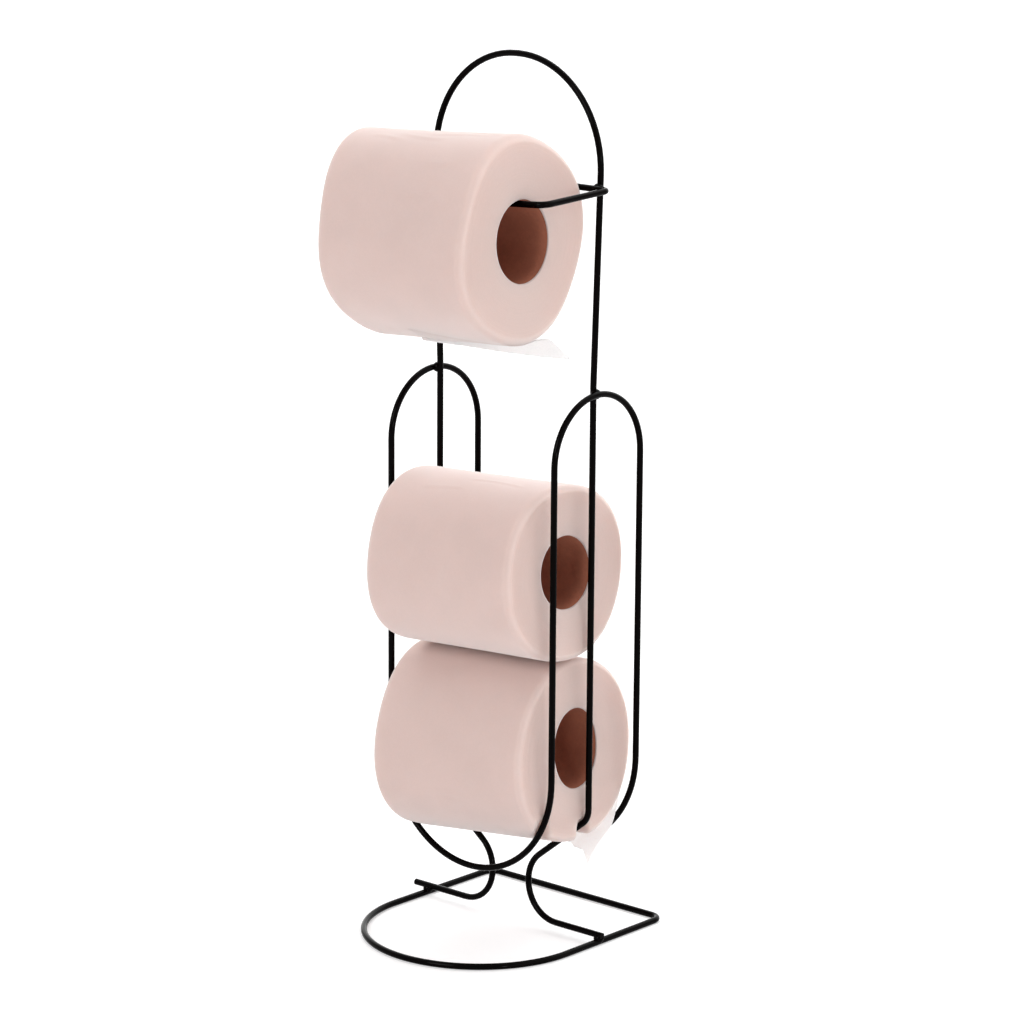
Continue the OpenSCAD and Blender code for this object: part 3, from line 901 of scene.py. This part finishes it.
def lay_windings(name, roll, paper, material):
    """The edges of the paper that show as a spiral on both end faces of a roll."""
    bore_margin, rim_share, sunk_share = 0.5 * MM, 0.85, 0.3
    item = wound_thread(name, material, Turns=float(paper.winding_turns),
                        Start_radius=roll.bore_radius + bore_margin,
                        End_radius=roll.radius - roll.rim * rim_share,
                        Thread_radius=paper.winding_edge)
    reach, angle, height = thread_points(item.data)
    halves = []
    for side in (1, -1):
        turn = side * angle
        rise = roll.rise(turn, reach) - sunk_share * paper.winding_edge
        into = np.clip(reach - (roll.radius - roll.rim), 0, None)
        fall = roll.rim - np.sqrt(roll.rim ** 2 - into ** 2)
        along = side * (roll.half - fall + rise + height)
        halves.append(roll.paper_points(along, *roll.section(along, reach, turn)))
    faces = [tuple(f.vertices) for f in item.data.polygons]
    both = faces + [tuple(v + len(reach) for v in f) for f in faces]
    bpy.data.objects.remove(item)
    item = mesh_object(name, np.concatenate(halves), both, material)
    store_values(item, "wound_radius", np.tile(reach, 2))
    # cut_end also gives the windings the cut ends' painted lighter colour.
    store_values(item, "cut_end", np.ones(2 * len(reach)))
    return item


def lay_seam(name, roll, core, material):
    """The raised edge of the cardboard strip that winds along the inside of a tube."""
    length = 2 * (roll.half - core.recess) - 2 * core.seam_height
    item = wound_thread(name, material, Steps_per_turn=120, Turns=core.seam_turns,
                        Start_radius=roll.bore_radius, End_radius=roll.bore_radius,
                        Height=length, Thread_radius=core.seam_height)
    reach, angle, height = thread_points(item.data)
    along = height - length / 2
    y, z = roll.section(along, reach, angle)
    item.data.vertices.foreach_set("co", roll.world(along, y, z).ravel())
    item.data.shade_smooth()
    return item


# ---------------------------------------------------------------- operators

class RH_OT_stage(bpy.types.Operator):
    """Make the floor, the lights and the camera"""

    bl_idname = "rollholder.stage"
    bl_label = "Stage"

    def execute(self, context):
        settings = context.scene.rh_stage
        half = FLOOR_HALF
        floor = mesh_object("floor", [(-half, -half, 0), (half, -half, 0), (half, half, 0),
                                      (-half, half, 0)],
                            [(0, 1, 2, 3)], floor_material(settings))
        self.room(context, settings)
        lamps = (("top_light", settings.top_strength, settings.top_angle, Vector((0, 0, 1))),
                 ("side_light", settings.side_strength, settings.side_angle, SIDE_LIGHT),
                 ("face_light", settings.face_strength, settings.face_angle, FACE_LIGHT),
                 ("back_light", settings.back_strength, settings.top_angle, BACK_LIGHT),
                 ("key_light", settings.key_strength, settings.key_angle,
                  seen_from(settings.key_heading, settings.key_height)))
        for lamp in lamps:
            self.lamp(context, *lamp)
        context.scene.view_settings.view_transform = 'Standard'
        self.camera(context, settings)
        return {'FINISHED'}

    def room(self, context, settings):
        """White walls all round, seen as white and lighting the object plainly."""
        world = bpy.data.worlds.new("white_room")
        context.scene.world = world
        world.use_nodes = True
        tree = world.node_tree
        tree.nodes.clear()
        output = tree.nodes.new('ShaderNodeOutputWorld')
        lights = add_node(tree, 'ShaderNodeBackground', Strength=settings.room_strength)
        seen = add_node(tree, 'ShaderNodeBackground', Strength=1.0)
        for node in (lights, seen):
            node.inputs["Color"].default_value = (1.0, 1.0, 1.0, 1.0)
        feed(tree, output.inputs["Surface"], camera_pick(tree, lights, seen))

    def lamp(self, context, name, strength, angle, towards):
        """A far lamp of the given width in the given direction."""
        light = bpy.data.lights.new(name, 'SUN')
        light.energy = strength
        light.angle = angle
        item = bpy.data.objects.new(name, light)
        context.scene.collection.objects.link(item)
        item.rotation_euler = towards.to_track_quat('Z', 'Y').to_euler()

    def camera(self, context, settings):
        """The camera at the photograph's place."""
        data = bpy.data.cameras.new("camera")
        data.lens = settings.lens
        data.sensor_width = 36.0
        data.clip_end = 200.0
        item = bpy.data.objects.new("camera", data)
        context.scene.collection.objects.link(item)
        roll = settings.camera_roll
        back = seen_from(settings.camera_heading, settings.camera_height)
        right = (-back).cross(Vector((0, 0, 1))).normalized()
        up = right.cross(-back)
        side = math.cos(roll) * right + math.sin(roll) * up
        top = math.cos(roll) * up - math.sin(roll) * right
        turn = Matrix((side, top, back)).transposed().to_4x4()
        item.matrix_world = Matrix.Translation(Vector(settings.camera_place)) @ turn
        context.scene.camera = item


class RH_OT_wires(bpy.types.Operator):
    """Give the bent wires and their welds black enamel"""

    bl_idname = "rollholder.wires"
    bl_label = "Wires"

    def execute(self, context):
        material = enamel_material(context.scene.rh_wire)
        for name in WIRE_NODES + WELD_NODES:
            item = bpy.data.objects[name]
            item.data.materials.clear()
            item.data.materials.append(material)
        return {'FINISHED'}


class RH_OT_cores(bpy.types.Operator):
    """Make the cardboard tubes with their spiral seams"""

    bl_idname = "rollholder.cores"
    bl_label = "Cores"

    def execute(self, context):
        core, paper = context.scene.rh_core, context.scene.rh_paper
        material = cardboard_material(core)
        for shape in ROLLS:
            roll = Roll(shape, paper)
            tube = make_tube(shape.body.replace("roll", "tube"), roll, core.wall, core.recess,
                             material)
            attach(tube, shape.body)
            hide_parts(shape.body + "_core")
            seam = lay_seam(shape.body.replace("roll", "tube_seam"), roll, core, material)
            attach(seam, shape.body)
        return {'FINISHED'}


class RH_OT_papers(bpy.types.Operator):
    """Make the wound paper of the three rolls"""

    bl_idname = "rollholder.papers"
    bl_label = "Paper rolls"

    def execute(self, context):
        paper, core = context.scene.rh_paper, context.scene.rh_core
        look = tissue_material(paper, "tissue_paper", soft=0.6)
        for shape in ROLLS:
            roll = Roll(shape, paper)
            item = make_paper(shape.body.replace("roll", "paper"), roll, paper.lip,
                              core.wall + TUBE_GAP, look)
            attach(item, shape.body)
            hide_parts(shape.body + "_paper")
        return {'FINISHED'}


class RH_OT_windings(bpy.types.Operator):
    """Lay the spiral of paper edges on the rolls' end faces"""

    bl_idname = "rollholder.windings"
    bl_label = "Windings"

    def execute(self, context):
        paper = context.scene.rh_paper
        material = tissue_material(paper, "tissue_edges", soft=0.0)
        for shape in ROLLS:
            item = lay_windings(shape.body.replace("roll", "windings"), Roll(shape, paper),
                                paper, material)
            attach(item, shape.body)
        return {'FINISHED'}


class RH_OT_loose_ends(bpy.types.Operator):
    """Make the torn loose ends that hang below the top and bottom rolls"""

    bl_idname = "rollholder.loose_ends"
    bl_label = "Loose ends"

    def execute(self, context):
        loose, paper = context.scene.rh_loose, context.scene.rh_paper
        ends = (
            ("top_tissue_end", TOP_ROLL, TOP_END, loose.top_hug, loose.top_painted_glow, "hanging_end",
             "top_loose_end"),
            ("bottom_tissue_end", BOTTOM_ROLL, BOTTOM_END, loose.bottom_hug, loose.bottom_painted_glow,
             "bottom_roll", "bottom_loose_end"))
        for name, shape, stations, hug, glow, body, node in ends:
            # glow is painted light: emission on the hanging tissue that stands in for light coming
            # through it.
            material = tissue_end_material(paper, name, glow)
            item, flat, area = make_loose_end(name, Roll(shape, paper), stations, hug, loose,
                                              material)
            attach(item, body)
            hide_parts(node)
        return {'FINISHED'}


# ---------------------------------------------------------------- panel

class RH_PT_panel(bpy.types.Panel):
    """Lists the operators in the order in which they run."""

    bl_idname = "RH_PT_panel"
    bl_label = "Roll Holder"
    bl_space_type = 'VIEW_3D'
    bl_region_type = 'UI'
    bl_category = "Roll Holder"

    def draw(self, context):
        for operator in OPERATORS:
            self.layout.operator(operator.bl_idname)
        for name, title, fields in (
                ("rh_wire", "Wire", ("color",)), ("rh_core", "Core", ("color",)),
                ("rh_paper", "Paper", ("side_color", "face_color_painted_lighter", "end_color_painted_bright"))):
            box = self.layout.box()
            box.label(text=title)
            for field in fields:
                box.prop(getattr(context.scene, name), field)


OPERATORS = (RH_OT_stage, RH_OT_wires, RH_OT_cores, RH_OT_papers, RH_OT_windings,
             RH_OT_loose_ends)
GROUPS = {"rh_stage": RH_StageSettings, "rh_wire": RH_WireSettings, "rh_core": RH_CoreSettings,
          "rh_paper": RH_PaperSettings, "rh_loose": RH_LooseEndSettings}


def register():
    for item in (*GROUPS.values(), *OPERATORS, RH_PT_panel):
        bpy.utils.register_class(item)
    for name, group in GROUPS.items():
        setattr(bpy.types.Scene, name, bpy.props.PointerProperty(type=group))


def unregister():
    for name in GROUPS:
        delattr(bpy.types.Scene, name)
    for item in reversed((*GROUPS.values(), *OPERATORS, RH_PT_panel)):
        bpy.utils.unregister_class(item)


def main():
    register()
    for operator in OPERATORS:
        family, name = operator.bl_idname.split(".")
        getattr(getattr(bpy.ops, family), name)()


if __name__ == "__main__":
    main()
